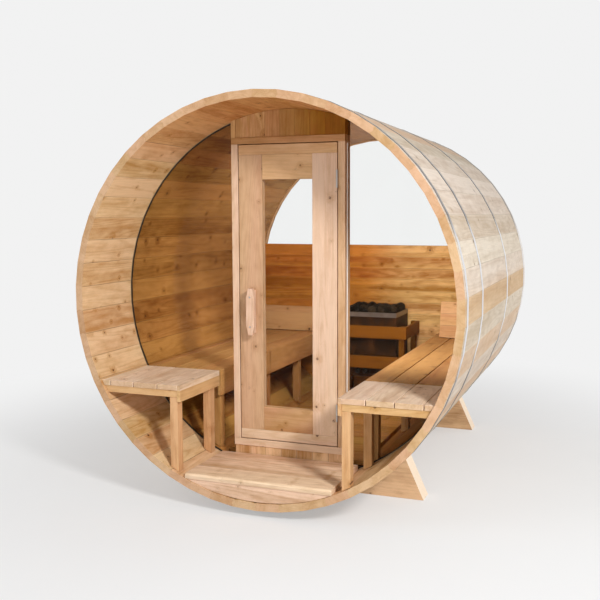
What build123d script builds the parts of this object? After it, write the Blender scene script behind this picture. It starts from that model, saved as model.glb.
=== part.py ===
"""Barrel sauna: a horizontal stave barrel on two saddle cradles, with an open porch,
a glazed front wall with a hinged door, a cabin with two benches and a stone heater,
and a rear wall of boards under a half-moon window.

While it is built, x runs across, y runs back from the front rim and z runs up from the
barrel's axis.  publish() moves every piece to the final frame, whose origin lies on the
ground below the middle of the barrel."""

import os
from math import cos, degrees, hypot, radians, sin, sqrt

from build123d import *

os.makedirs("parts", exist_ok=True)

# ---------------------------------------------------------------- driving dimensions (mm)
OUTER_R = 1067.0          # corners of the stave ring, 7 ft across
LENGTH = 2438.0           # staves, 8 ft long
STAVE_T = 40.0
STAVE_COUNT = 50
STAVES_PER_NODE = 5
STAVE_ARRIS = 1.5         # small chamfer along every stave edge
BEAD_R = 13.0             # round bead on one edge of a stave, in the cove of the next
BEAD_OUT = 5.5
BEAD_SIDES = 10           # the bead and the cove are cut in flats
FIT = 0.3                 # gap between pieces that seat on each other

GROUND_GAP = 40.0         # from the ground up to the lowest staves
CRADLE_T = 110.0
CRADLE_FRONT_Y = 548.0
CRADLE_REAR_MARGIN = 218.0   # from its back to the rear end of the staves
CRADLE_BASE = 1512.0
CRADLE_TOP = 1280.0
CRADLE_END_RISE = 254.0

HOOP_W = 38.0
HOOP_T = 1.5
HOOP_FRONT_Y = 60.0
HOOP_PORCH_Y = 497.0
HOOP_MIDDLE_Y = 1466.0
HOOP_REAR_MARGIN = 53.0   # from the rear end of the staves
HOOP_LUG_H = 24.0
HOOP_BOLT_H = 14.5
HOOP_LUG_T = 4.0
HOOP_LUG_GAP = 34.0
HOOP_LUG_STAVE = 17       # the stave under the lugs, counted from the top on the left
BOLT_R = 4.0
BOLT_SIDES = 8
BOLT_HEAD_R = 7.5
BOLT_HEAD_T = 5.5
BOLT_TAIL = 4.0

GLASS_Y = 476.0           # front face of the front wall's glass
GLASS_T = 8.0
CROZE_DEPTH = 9.0         # groove round the staves that holds a wall
GASKET_H = 9.0
GASKET_T = 7.0

WALL_T = 38.0
WALL_REAR_MARGIN = 32.0   # staves run this far past the rear wall
WALL_BOARD = 88.0
WALL_RISE = 1130.0        # board wall above the deck, up to the window
WINDOW_BEAD_H = 6.0

DOOR_W = 580.0
DOOR_H = 1656.0
DOOR_RISE = 91.5          # foot of the door above the deck
DOOR_T = 40.0
DOOR_GAP = 5.0
DOOR_STILE = 142.0
DOOR_RAIL = 55.0          # rails that cap the stiles
DOOR_PANEL = 135.0        # panels between the stiles, above and below the glass
PANE_T = 6.0
PANE_REBATE = 9.0

FRAME_PROUD = 35.0        # frame and door stand this far in front of the glass
FRAME_DEPTH = 89.0
JAMB_FACE = 40.0
HEAD_FACE = 36.0
STOP = 12.0
PANEL_T = 38.0            # board panels above and below the door frame
PANEL_SET_BACK = 6.0
PANEL_BOARDS = 7
PANEL_STRIP = 26.0
SILL_PANEL_INSET = 4.0    # ends of the boards under the sill, from the sill's ends

HANDLE_EDGE = 85.0        # middle of the pull from the door's edge
HANDLE_RISE = 732.5       # middle of the pull above the door's foot
HANDLE_L = 262.0
HANDLE_W = 50.0
HANDLE_END_W = 26.0
HANDLE_TAPER = 56.0
HANDLE_T = 28.0
HANDLE_STAND = 26.0
HANDLE_STEM_W = 26.0
HANDLE_STEM_INSET = 10.0   # from the ends of the pull

HINGE_L = 95.0
HINGE_R = 6.0
HINGE_PIN_R = 3.0
HINGE_RUN = 0.05
HINGE_PLATE = 1.5
HINGE_KNUCKLES = 3
HINGE_SIDES = 12
HINGE_END_GAP = 0.2
HINGE_BACK = 0.5          # knuckles stand this far clear of the frame's face
HINGE_TOP_DROP = 192.5    # middle of the upper hinge below the door's top
HINGE_FOOT_RISE = 188.5   # middle of the lower hinge above the door's foot

DECK_RISE = 117.0         # top of the deck above the lowest stave
DECK_T = 28.0
DECK_BOARDS = 3
DECK_GAP = 4.0
FLOOR_BOARD = 140.0
BEARER_W = 38.0
BEARER_X = 230.0
FASCIA_T = 38.0
FASCIA_SET_BACK = 6.0     # behind the deck's nose
FASCIA_EASE = 3.0         # open joint between the middle of its foot and the staves
FASCIA_FLATTER = 100.0    # its foot's radius is this much larger than the shell's

SEAT_RISE = 466.0         # seats above the deck
SEAT_X = 440.0            # aisle side of every bench
SLAT_W = 139.5
SLAT_T = 28.0
SLAT_GAP = 5.5
APRON_T = 20.0
PORCH_APRON_H = 89.0
CABIN_APRON_H = 152.0
RAIL_H = 38.0
RAIL_T = 38.0
LEG_W = 45.0
LEG_D = 50.0
PORCH_BENCH_Y = 15.0
BENCH_WALL_GAP = 2.0
PORCH_LEG_INSET = 5.0
LEG_INSET = 30.0          # end legs from the walls
CABIN_LEGS = (674.0, 1234.0)   # middle legs of a cabin bench, from its first leg

BACKREST_FOOT = 248.0     # foot of the boards from the rear wall
BACKREST_X = 500.0
BACKREST_RIGHT = (88.0, 88.0, 88.0)   # boards from the foot up
BACKREST_LEFT = (139.5, 50.0)
BACKREST_T = 25.0
BACKREST_LEAN = 13.0
BACKREST_SIDE_T = 22.0
BACKREST_SIDE_X = (30.0, 260.0)   # sides from the aisle end of the boards
BACKREST_SIDE_TOP = 30.0
BACKREST_SIDE_FOOT = 90.0
BACKREST_SIDE_DROP = 21.0

HEATER_W = 414.0
HEATER_D = 330.0
HEATER_H = 480.0
HEATER_RISE = 168.0       # foot of the heater above the deck
HEATER_WALL = 4.0
HEATER_BACK_GAP = 30.0
BRACKET_INSET = 40.0
BRACKET_RISE = 60.0
BRACKET_H = 240.0
STONE_TRAY = 130.0
STONE_HEAP = 55.0
STONE_SLOPE = 45.0
KNOB_R = 22.0
KNOB_T = 16.0
KNOB_SIDES = 20
KNOB_X = (-88.0, -32.0)
KNOB_RISE = 42.0

GUARD_SIDE_CLEAR = 68.0   # from the heater's sides to the rails
GUARD_FRONT_CLEAR = 38.0
GUARD_RAIL_H = 89.0
GUARD_RAIL_T = 20.0
GUARD_RISE = (555.0, 332.0)   # tops of the rails above the deck
GUARD_POST = 40.0

# ---------------------------------------------------------------- worked-out values
INNER_R = OUTER_R - STAVE_T
HALF_STAVE = 180.0 / STAVE_COUNT
INNER_FLAT = INNER_R * cos(radians(HALF_STAVE))         # to the flat of a stave's inner face
OUTER_FLAT = OUTER_R * cos(radians(HALF_STAVE))
CLEAR_R = INNER_FLAT - FIT                              # what fits inside the staves
CROZE_R = INNER_FLAT + CROZE_DEPTH
AXIS_H = OUTER_R + GROUND_GAP
WALL_Y = LENGTH - WALL_REAR_MARGIN - WALL_T
FRAME_Y = GLASS_Y - FRAME_PROUD
FRAME_BACK_Y = FRAME_Y + FRAME_DEPTH
OPENING_X = DOOR_W / 2 + DOOR_GAP
FRAME_X = OPENING_X + JAMB_FACE
DECK_TOP_Z = DECK_RISE - INNER_R
DECK_FOOT_Z = DECK_TOP_Z - DECK_T
DECK_X = sqrt(CLEAR_R ** 2 - DECK_FOOT_Z ** 2)
DOOR_FOOT_Z = DECK_TOP_Z + DOOR_RISE
DOOR_TOP_Z = DOOR_FOOT_Z + DOOR_H
OPENING_TOP_Z = DOOR_TOP_Z + DOOR_GAP
OPENING_FOOT_Z = DOOR_FOOT_Z - DOOR_GAP
FRAME_TOP_Z = OPENING_TOP_Z + HEAD_FACE
FRAME_FOOT_Z = OPENING_FOOT_Z - JAMB_FACE
PANE_X = DOOR_W / 2 - DOOR_STILE
PANE_TOP_Z = DOOR_TOP_Z - DOOR_RAIL - DOOR_PANEL
PANE_FOOT_Z = DOOR_FOOT_Z + DOOR_RAIL + DOOR_PANEL
DOOR_BACK_Y = FRAME_Y + DOOR_T
HINGE_X = DOOR_W / 2 + DOOR_GAP / 2
HINGE_Y = FRAME_Y - HINGE_R - HINGE_BACK
HINGE_Z = (DOOR_TOP_Z - HINGE_TOP_DROP, DOOR_FOOT_Z + HINGE_FOOT_RISE)
HANDLE_X = HANDLE_EDGE - DOOR_W / 2
HANDLE_Z = DOOR_FOOT_Z + HANDLE_RISE
PANEL_Y = FRAME_Y + PANEL_SET_BACK
FASCIA_BACK_Y = FASCIA_SET_BACK + FASCIA_T
CABIN_Y = GLASS_Y + GLASS_T
WALL_TOP_Z = DECK_TOP_Z + WALL_RISE
SEAT_Z = DECK_TOP_Z + SEAT_RISE
HEATER_FOOT_Z = DECK_TOP_Z + HEATER_RISE
HEATER_TOP_Z = HEATER_FOOT_Z + HEATER_H
HEATER_BACK_Y = WALL_Y - HEATER_BACK_GAP
HEATER_FRONT_Y = HEATER_BACK_Y - HEATER_D


# ---------------------------------------------------------------- building helpers
def block(x, y, z):
    """A box between pairs of coordinates."""
    middle = Pos(sum(x) / 2, sum(y) / 2, sum(z) / 2)
    return middle * Box(x[1] - x[0], y[1] - y[0], z[1] - z[0])


def along_y(face, y0, y1):
    """A face drawn in x and z, drawn out from y0 to y1."""
    return Pos(0, y1, 0) * extrude(Plane.XZ * face, amount=y1 - y0)


def along_x(face, x0, x1):
    """A face drawn in y and z, drawn out from x0 to x1."""
    return Pos(x0, 0, 0) * extrude(Plane.YZ * face, amount=x1 - x0)


def outline(*points):
    return Polygon(*points, align=None)


def disc(radius, y0, y1):
    return along_y(Circle(radius), y0, y1)


def stave_ring(outer, inner, y0, y1):
    """A ring of flats that follow the staves; both sizes are measured to the flats."""
    corner = 1 / cos(radians(HALF_STAVE))
    face = RegularPolygon(outer * corner, STAVE_COUNT, rotation=90)
    face -= RegularPolygon(inner * corner, STAVE_COUNT, rotation=90)
    return along_y(face, y0, y1)


def inside_shell(piece):
    """Trims a piece to the round of the shell's inner faces."""
    return piece & disc(CLEAR_R, 0, LENGTH)


def mirrored(piece):
    return mirror(piece, about=Plane.YZ)


def publish(name, *pieces):
    """Writes the solids of one named piece in the final frame."""
    solids = []
    for piece in pieces:
        solids.extend(piece.solids())
    group = Pos(0, -LENGTH / 2, AXIS_H) * Compound(children=solids)
    export_step(group, f"parts/{name}.step")


# ---------------------------------------------------------------- shell and hoops
def joint_circle(side, radius):
    """The circle of the bead-and-cove joint at a stave's right (1) or left (-1) edge."""
    turn = radians(HALF_STAVE) * side
    middle_r = OUTER_R - STAVE_T / 2
    inset = BEAD_R - BEAD_OUT
    x = middle_r * sin(turn) - inset * cos(turn)
    z = middle_r * cos(turn) + inset * sin(turn)
    return Pos(x, z) * Rot(0, 0, -degrees(turn)) * RegularPolygon(radius, BEAD_SIDES)


def stave():
    """The stave at the top of the ring, with its bead, cove and crozes."""
    half = radians(HALF_STAVE)
    outer_x = OUTER_R * sin(half) - FIT / 2
    outer_z = OUTER_R * cos(half)
    inner_x = INNER_R * sin(half) - FIT / 2
    inner_z = INNER_R * cos(half)
    cut = STAVE_ARRIS
    right = [
        (inner_x - cut, inner_z),
        (inner_x, inner_z + cut),
        (outer_x, outer_z - cut),
        (outer_x - cut, outer_z),
    ]
    left = [(-x, z) for x, z in reversed(right)]
    profile = outline(*right, *left) + joint_circle(1, BEAD_R) - joint_circle(-1, BEAD_R + FIT)
    board = along_y(profile, 0, LENGTH)
    for start, width in ((GLASS_Y, GLASS_T), (WALL_Y, WALL_T)):
        croze_y = (start - FIT, start + width + FIT)
        board -= block((-STAVE_T * 2, STAVE_T * 2), croze_y, (INNER_FLAT - 1, CROZE_R))
    return board


def build_shell():
    top_stave = stave()
    pitch = 360.0 / STAVE_COUNT
    names = ("crown", "shoulder", "side", "haunch", "floor")
    for index, name in enumerate(names):
        for side, hand in (("right", 1), ("left", -1)):
            boards = []
            for number in range(STAVES_PER_NODE):
                step = index * STAVES_PER_NODE + number + 0.5
                boards.append(Rot(0, hand * step * pitch, 0) * top_stave)
            publish(f"shell_{name}_{side}", *boards)


def hoop(y):
    """A strap round the staves, drawn tight by a bolt through two lugs."""
    bore = OUTER_FLAT + FIT
    y0 = y - HOOP_W / 2
    y1 = y + HOOP_W / 2
    gap = HOOP_LUG_GAP / 2
    lug_top = bore + HOOP_LUG_H
    bolt_z = bore + HOOP_BOLT_H
    shank = gap + HOOP_LUG_T + BOLT_HEAD_T + BOLT_TAIL
    head_x = gap + HOOP_LUG_T + FIT
    hole = Pos(y, bolt_z) * RegularPolygon(BOLT_R + FIT, BOLT_SIDES)
    band = Rot(0, HALF_STAVE, 0) * stave_ring(bore + HOOP_T, bore, y0, y1)
    band -= block((-gap, gap), (y0 - 1, y1 + 1), (INNER_FLAT, lug_top))
    bolt = along_x(Pos(y, bolt_z) * RegularPolygon(BOLT_R, BOLT_SIDES), -shank, shank)
    for side in (1, -1):
        lug = block(sorted((side * gap, side * (gap + HOOP_LUG_T))), (y0, y1), (bore, lug_top))
        band += lug - along_x(hole, -shank, shank)
        head = Pos(y, bolt_z) * RegularPolygon(BOLT_HEAD_R, 6)
        bolt += along_x(head, *sorted((side * head_x, side * (head_x + BOLT_HEAD_T))))
    turn = Rot(0, -(HOOP_LUG_STAVE + 0.5) * 2 * HALF_STAVE, 0)
    return [turn * band, turn * bolt]


def build_hoops():
    publish("hoop_front", *hoop(HOOP_FRONT_Y))
    publish("hoop_porch", *hoop(HOOP_PORCH_Y))
    publish("hoop_middle", *hoop(HOOP_MIDDLE_Y))
    publish("hoop_rear", *hoop(LENGTH - HOOP_REAR_MARGIN))


def cradle(y):
    """A saddle cut to the round of the barrel, with slanted ends."""
    foot = -AXIS_H
    side = outline(
        (-CRADLE_BASE / 2, foot),
        (CRADLE_BASE / 2, foot),
        (CRADLE_TOP / 2, foot + CRADLE_END_RISE),
        (-CRADLE_TOP / 2, foot + CRADLE_END_RISE),
    )
    return along_y(side - Circle(OUTER_R + FIT), y, y + CRADLE_T)


def build_cradles():
    publish("cradle_front", cradle(CRADLE_FRONT_Y))
    publish("cradle_rear", cradle(LENGTH - CRADLE_REAR_MARGIN - CRADLE_T))


# ---------------------------------------------------------------- porch deck and cabin floor
def floor_board(y0, y1, nose=0.0):
    board = block((-DECK_X, DECK_X), (y0, y1), (DECK_FOOT_Z, DECK_TOP_Z))
    if nose:
        edge = board.edges().filter_by(Axis.X).group_by(Axis.Y)[0].sort_by(Axis.Z)[-1]
        board = fillet(edge, nose)
    return board


def floor_boards(y0, y1, count):
    width = (y1 - y0 - DECK_GAP * (count - 1)) / count
    boards = []
    for number in range(count):
        start = y0 + number * (width + DECK_GAP)
        nose = DECK_T / 2 if number == 0 and y0 == 0 else 0.0
        boards.append(floor_board(start, start + width, nose))
    return boards


def bearer(x, y0, y1):
    wood = block((x - BEARER_W / 2, x + BEARER_W / 2), (y0, y1), (-INNER_R, DECK_FOOT_Z))
    return inside_shell(wood)


def fascia():
    """The board under the deck's nose, its foot a little flatter than the round of the shell."""
    depth = (FASCIA_SET_BACK, FASCIA_BACK_Y)
    wood = block((-OUTER_R, OUTER_R), depth, (-INNER_R, DECK_FOOT_Z))
    foot = Pos(0, 0, FASCIA_FLATTER + FASCIA_EASE) * disc(CLEAR_R + FASCIA_FLATTER, *depth)
    return inside_shell(wood) & foot


def build_floors():
    porch_end = FRAME_Y - FIT
    cabin_start = FRAME_BACK_Y + FIT
    cabin_end = WALL_Y - BENCH_WALL_GAP
    count = int((cabin_end - cabin_start + DECK_GAP) / (FLOOR_BOARD + DECK_GAP))
    publish("porch_deck", *floor_boards(0, porch_end, DECK_BOARDS))
    publish("cabin_floor", *floor_boards(cabin_start, cabin_end, count))
    bearers = []
    for x in (-BEARER_X, BEARER_X):
        bearers.append(bearer(x, FASCIA_BACK_Y + FIT, porch_end))
        bearers.append(bearer(x, cabin_start, cabin_end))
    publish("floor_bearers", *bearers)
    publish("porch_fascia", fascia())


# ---------------------------------------------------------------- front wall
def front_glass(side):
    edge = FRAME_X - STOP / 2
    pane = disc(CROZE_R - FIT, GLASS_Y, GLASS_Y + GLASS_T)
    pane &= block((edge, OUTER_R), (0, LENGTH), (-OUTER_R, OUTER_R))
    return pane if side > 0 else mirrored(pane)


def gasket():
    """A seal on the front of the glass, round its curved edge."""
    curve = stave_ring(CLEAR_R, CLEAR_R - GASKET_H, GLASS_Y - FIT - GASKET_T, GLASS_Y - FIT)
    piece = curve & block((FRAME_X + FIT, OUTER_R), (0, LENGTH), (-OUTER_R, OUTER_R))
    return [piece, mirrored(piece)]


def jamb():
    """The right jamb: the door's stop inside and the glass in a groove outside."""
    height = (OPENING_FOOT_Z + FIT, OPENING_TOP_Z - FIT)
    wood = block((OPENING_X, FRAME_X), (FRAME_Y, FRAME_BACK_Y), height)
    wood += block(
        (OPENING_X - STOP, OPENING_X),
        (DOOR_BACK_Y + DOOR_GAP, FRAME_BACK_Y),
        height,
    )
    return wood - front_groove()


def front_groove():
    """The groove down the right side of the door wall that takes the glass."""
    return block(
        (FRAME_X - STOP / 2 - FIT, OUTER_R),
        (GLASS_Y - FIT, CABIN_Y + FIT),
        (-OUTER_R, OUTER_R),
    )


def cross_member(foot, top, stop_foot, stop_top):
    """A head or sill over the ends of both jambs, with the door's stop between them."""
    wood = block((-FRAME_X, FRAME_X), (FRAME_Y, FRAME_BACK_Y), (foot, top))
    wood = wood - front_groove() - mirrored(front_groove())
    stop_x = OPENING_X - STOP - FIT
    stop_y = (DOOR_BACK_Y + DOOR_GAP, FRAME_BACK_Y)
    return wood + block((-stop_x, stop_x), stop_y, (stop_foot, stop_top))


def panel(half, depth, strip_y, foot, top):
    """Upright boards as wide as two halves, and the strips at their sides that hold the glass,
    trimmed to the shell."""
    width = 2 * half / PANEL_BOARDS
    strip = block((FRAME_X - PANEL_STRIP, FRAME_X), (strip_y, FRAME_BACK_Y), (foot, top))
    strip -= front_groove()
    pieces = [inside_shell(strip), inside_shell(mirrored(strip))]
    for number in range(PANEL_BOARDS):
        start = -half + number * width
        board = block((start + FIT, start + width - FIT), depth, (foot, top))
        pieces.append(inside_shell(board))
    return pieces


def header_panel():
    """Boards between two strips as deep as the door's frame."""
    depth = (PANEL_Y, PANEL_Y + PANEL_T)
    return panel(FRAME_X - PANEL_STRIP, depth, FRAME_Y, FRAME_TOP_Z + FIT, OUTER_R)


def sill_panel():
    """Boards that cover the strips and the edges of the glass."""
    depth = (PANEL_Y, GLASS_Y - FIT)
    half = FRAME_X - SILL_PANEL_INSET
    return panel(half, depth, GLASS_Y, -OUTER_R, FRAME_FOOT_Z - FIT)


def build_front_wall():
    publish("front_glass_left", front_glass(-1))
    publish("front_glass_right", front_glass(1))
    publish("front_glass_seal", *gasket())
    publish("door_jamb_right", jamb())
    publish("door_jamb_left", mirrored(jamb()))
    head = cross_member(OPENING_TOP_Z, FRAME_TOP_Z, OPENING_TOP_Z - STOP, OPENING_TOP_Z)
    sill = cross_member(FRAME_FOOT_Z, OPENING_FOOT_Z, OPENING_FOOT_Z, OPENING_FOOT_Z + STOP)
    publish("door_head", head)
    publish("door_sill", sill)
    publish("header_panel", *header_panel())
    publish("sill_panel", *sill_panel())


# ---------------------------------------------------------------- rear wall
def build_rear_wall():
    boards = []
    foot = WALL_TOP_Z
    wall = disc(CROZE_R - FIT, WALL_Y, WALL_Y + WALL_T)
    while foot > -CROZE_R + FIT + STAVE_T:
        top = foot
        foot = top - WALL_BOARD
        strip = block((-OUTER_R, OUTER_R), (0, LENGTH), (foot + FIT, top))
        boards.append(wall & strip)
    publish("rear_wall", *boards)
    above = block((-OUTER_R, OUTER_R), (0, LENGTH), (WALL_TOP_Z + FIT, OUTER_R))
    publish("rear_window", disc(CROZE_R - FIT, WALL_Y, WALL_Y + GLASS_T) & above)
    bead_y = WALL_Y + GLASS_T + FIT
    bead = stave_ring(CROZE_R - FIT, CLEAR_R - WINDOW_BEAD_H, bead_y, WALL_Y + WALL_T)
    publish("rear_window_bead", bead & above)


# ---------------------------------------------------------------- door
def build_door():
    y = (FRAME_Y, DOOR_BACK_Y)
    half = DOOR_W / 2
    stile_z = (DOOR_FOOT_Z + DOOR_RAIL, DOOR_TOP_Z - DOOR_RAIL)
    pane_y = (FRAME_Y + (DOOR_T - PANE_T) / 2, FRAME_Y + (DOOR_T + PANE_T) / 2)
    grow = PANE_REBATE - FIT
    pane = block((-PANE_X - grow, PANE_X + grow), pane_y, (PANE_FOOT_Z - grow, PANE_TOP_Z + grow))
    room = block(
        (-PANE_X - PANE_REBATE, PANE_X + PANE_REBATE),
        (pane_y[0] - FIT, pane_y[1] + FIT),
        (PANE_FOOT_Z - PANE_REBATE, PANE_TOP_Z + PANE_REBATE),
    )
    stile = block((PANE_X, half), y, stile_z) - room
    publish("door_stile_right", stile)
    publish("door_stile_left", mirrored(stile))
    publish("door_top_rail", block((-half, half), y, (stile_z[1] + FIT, DOOR_TOP_Z)))
    publish("door_bottom_rail", block((-half, half), y, (DOOR_FOOT_Z, stile_z[0] - FIT)))
    inner = PANE_X - FIT
    publish("door_upper_panel", block((-inner, inner), y, (PANE_TOP_Z, stile_z[1])) - room)
    publish("door_lower_panel", block((-inner, inner), y, (stile_z[0], PANE_FOOT_Z)) - room)
    publish("door_glass", pane)
    publish("door_handle", door_handle())


def door_handle():
    """A wooden pull with tapered ends, its grip overhanging a narrower stem."""
    length = HANDLE_L / 2
    shoulder = length - HANDLE_TAPER
    right = [
        (HANDLE_END_W / 2, -length),
        (HANDLE_W / 2, -shoulder),
        (HANDLE_W / 2, shoulder),
        (HANDLE_END_W / 2, length),
    ]
    left = [(-x, z) for x, z in reversed(right)]
    front = FRAME_Y - HANDLE_STAND - HANDLE_T
    bar = along_y(Pos(HANDLE_X, HANDLE_Z) * outline(*right, *left), front, front + HANDLE_T)
    bar = fillet(bar.edges().group_by(Axis.Y)[0], 4)
    stem_half = length - HANDLE_STEM_INSET
    return bar + block(
        (HANDLE_X - HANDLE_STEM_W / 2, HANDLE_X + HANDLE_STEM_W / 2),
        (front + HANDLE_T, FRAME_Y - FIT),
        (HANDLE_Z - stem_half, HANDLE_Z + stem_half),
    )


def hinge_side(z, door_side):
    """Half of a butt hinge: every second knuckle and its plate in the gap."""
    step = HINGE_L / HINGE_KNUCKLES
    foot = z - HINGE_L / 2
    centre = Pos(HINGE_X, HINGE_Y)
    knuckle = RegularPolygon(HINGE_R, HINGE_SIDES)
    plate_x = DOOR_W / 2 + FIT if door_side else OPENING_X - FIT - HINGE_PLATE
    plate_span = (plate_x, plate_x + HINGE_PLATE)
    plate_start = HINGE_Y + HINGE_R + 2
    half = block(plate_span, (plate_start, DOOR_BACK_Y - 4), (foot, foot + HINGE_L))
    for number in range(HINGE_KNUCKLES):
        if (number % 2 == 1) != door_side:
            continue
        low = foot + number * step + HINGE_END_GAP
        high = foot + (number + 1) * step - HINGE_END_GAP
        half += Pos(0, 0, low) * extrude(centre * knuckle, amount=high - low)
        half += block(plate_span, (HINGE_Y, plate_start), (low, high))
    pin_r = HINGE_PIN_R + (HINGE_RUN if door_side else 0)
    pin = Pos(0, 0, foot) * extrude(centre * Circle(pin_r), amount=HINGE_L)
    return half - pin if door_side else half + pin


def build_hinges():
    publish("hinge_door_side", *[hinge_side(z, True) for z in HINGE_Z])
    publish("hinge_frame_side", *[hinge_side(z, False) for z in HINGE_Z])


# ---------------------------------------------------------------- benches
def bench(y0, y1, apron_h, leg_rows):
    """The right-hand bench between y0 and y1: slats, apron, rails and legs."""
    pieces = []
    apron = (SEAT_X, SEAT_X + APRON_T)
    pieces.append(block(apron, (y0, y1), (SEAT_Z - apron_h, SEAT_Z)))
    start = SEAT_X + APRON_T + FIT
    stop = SEAT_X + SLAT_W
    slat_z = (SEAT_Z - SLAT_T, SEAT_Z)
    while start < CLEAR_R:
        slat = block((start, stop), (y0, y1), slat_z)
        start = stop + SLAT_GAP
        stop = start + SLAT_W
        pieces.append(inside_shell(slat))
        if hypot(start + SLAT_GAP, SEAT_Z - SLAT_T) > CLEAR_R:
            break
    rail_top = SEAT_Z - SLAT_T - FIT
    rail_x = SEAT_X + APRON_T + FIT
    for row in leg_rows:
        rail = block((rail_x, OUTER_R), (row, row + RAIL_T), (rail_top - RAIL_H, rail_top))
        leg = block(
            (rail_x, rail_x + LEG_W),
            (row, row + LEG_D),
            (-OUTER_R, rail_top - RAIL_H - FIT),
        )
        pieces.append(inside_shell(rail))
        pieces.append(inside_shell(leg))
    return pieces


def build_benches():
    porch_end = GLASS_Y - GASKET_T - 2 * FIT - BENCH_WALL_GAP
    porch_rows = (PORCH_BENCH_Y + PORCH_LEG_INSET, porch_end - LEG_INSET - LEG_D)
    porch = bench(PORCH_BENCH_Y, porch_end, PORCH_APRON_H, porch_rows)
    cabin_start = CABIN_Y + BENCH_WALL_GAP
    cabin_end = WALL_Y - BENCH_WALL_GAP
    first = cabin_start + LEG_INSET
    rows = (first, *[first + step for step in CABIN_LEGS], cabin_end - LEG_INSET - LEG_D)
    cabin = bench(cabin_start, cabin_end, CABIN_APRON_H, rows)
    publish("porch_bench_right", *porch)
    publish("porch_bench_left", *[mirrored(piece) for piece in porch])
    publish("cabin_bench_right", *cabin)
    publish("cabin_bench_left", *[mirrored(piece) for piece in cabin])
    publish("backrest_right", *backrest(BACKREST_RIGHT))
    publish("backrest_left", *[mirrored(piece) for piece in backrest(BACKREST_LEFT)])


def backrest(boards):
    """Boards leaning back on two wedge-shaped sides, standing on the right-hand bench."""
    foot_y = WALL_Y - BACKREST_FOOT
    foot_z = SEAT_Z + FIT
    turn = radians(BACKREST_LEAN)
    place = Pos(0, foot_y, foot_z) * Rot(-BACKREST_LEAN, 0, 0)
    low = BACKREST_T * sin(turn)
    pieces = []
    for height in boards:
        board = block((BACKREST_X, OUTER_R), (0, BACKREST_T), (low + FIT, low + height))
        pieces.append(inside_shell(place * board))
        low += height
    rise = sum(boards) - BACKREST_SIDE_DROP
    front_y = foot_y + (BACKREST_T + FIT) / cos(turn)
    top_y = front_y + rise * sin(turn)
    top_z = foot_z + rise * cos(turn)
    side = outline(
        (front_y, foot_z),
        (top_y + BACKREST_SIDE_FOOT, foot_z),
        (top_y + BACKREST_SIDE_TOP, top_z),
        (top_y, top_z),
    )
    for inset in BACKREST_SIDE_X:
        x = BACKREST_X + inset
        pieces.append(inside_shell(along_x(side, x, x + BACKREST_SIDE_T)))
    return pieces


# ---------------------------------------------------------------- heater
def build_heater():
    half = HEATER_W / 2
    inner = half - HEATER_WALL
    y = (HEATER_FRONT_Y, HEATER_BACK_Y)
    tray_z = HEATER_TOP_Z - STONE_TRAY
    tray_y = (HEATER_FRONT_Y + HEATER_WALL, HEATER_BACK_Y - HEATER_WALL)
    body = block((-half, half), y, (HEATER_FOOT_Z, HEATER_TOP_Z))
    body -= block((-inner, inner), tray_y, (tray_z, HEATER_TOP_Z + 1))
    bracket_x = half - BRACKET_INSET
    bracket_z = HEATER_FOOT_Z + BRACKET_RISE
    body += block(
        (-bracket_x, bracket_x),
        (HEATER_BACK_Y - HEATER_WALL, WALL_Y - FIT),
        (bracket_z, bracket_z + BRACKET_H),
    )
    publish("heater_body", body)
    pile = block(
        (-inner + FIT, inner - FIT),
        (tray_y[0] + FIT, tray_y[1] - FIT),
        (tray_z + FIT, HEATER_TOP_Z + STONE_HEAP),
    )
    publish("heater_stones", chamfer(pile.edges().group_by(Axis.Z)[-1], STONE_SLOPE))
    knobs = []
    for x in KNOB_X:
        face = Pos(x, HEATER_FOOT_Z + KNOB_RISE) * RegularPolygon(KNOB_R, KNOB_SIDES)
        knobs.append(along_y(face, HEATER_FRONT_Y - KNOB_T, HEATER_FRONT_Y - FIT))
    publish("heater_knobs", *knobs)
    publish("heater_guard", *guard())


def guard():
    """Two rails round the front and sides of the heater, on four posts."""
    inner = HEATER_W / 2 + GUARD_SIDE_CLEAR
    outer = inner + GUARD_RAIL_T
    y1 = HEATER_FRONT_Y - GUARD_FRONT_CLEAR
    y0 = y1 - GUARD_RAIL_T
    wall = WALL_Y - BENCH_WALL_GAP
    pieces = []
    for rise in GUARD_RISE:
        top = DECK_TOP_Z + rise
        z = (top - GUARD_RAIL_H, top)
        pieces.append(block((-outer, outer), (y0, y1), z))
        side = block((inner, outer), (y1 + FIT, wall), z)
        pieces.append(side)
        pieces.append(mirrored(side))
    post_x = (inner - FIT - GUARD_POST, inner - FIT)
    post_z = (DECK_TOP_Z + FIT, DECK_TOP_Z + max(GUARD_RISE))
    for start in (y1 + FIT, wall - GUARD_POST):
        post = block(post_x, (start, start + GUARD_POST), post_z)
        pieces.append(post)
        pieces.append(mirrored(post))
    return pieces


build_shell()
build_hoops()
build_cradles()
build_floors()
build_front_wall()
build_rear_wall()
build_door()
build_hinges()
build_benches()
build_heater()
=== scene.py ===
"""Looks of the barrel sauna: cedar boards, metal hoops, glass, heater and stones, with the
camera, the lamps and the floor.  Lengths are in metres; x runs across, y runs back from the
porch and z runs up from the ground."""

import random
from math import cos, pi, radians, sin

import bmesh
import bpy
from mathutils import Matrix, Vector, noise


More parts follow.
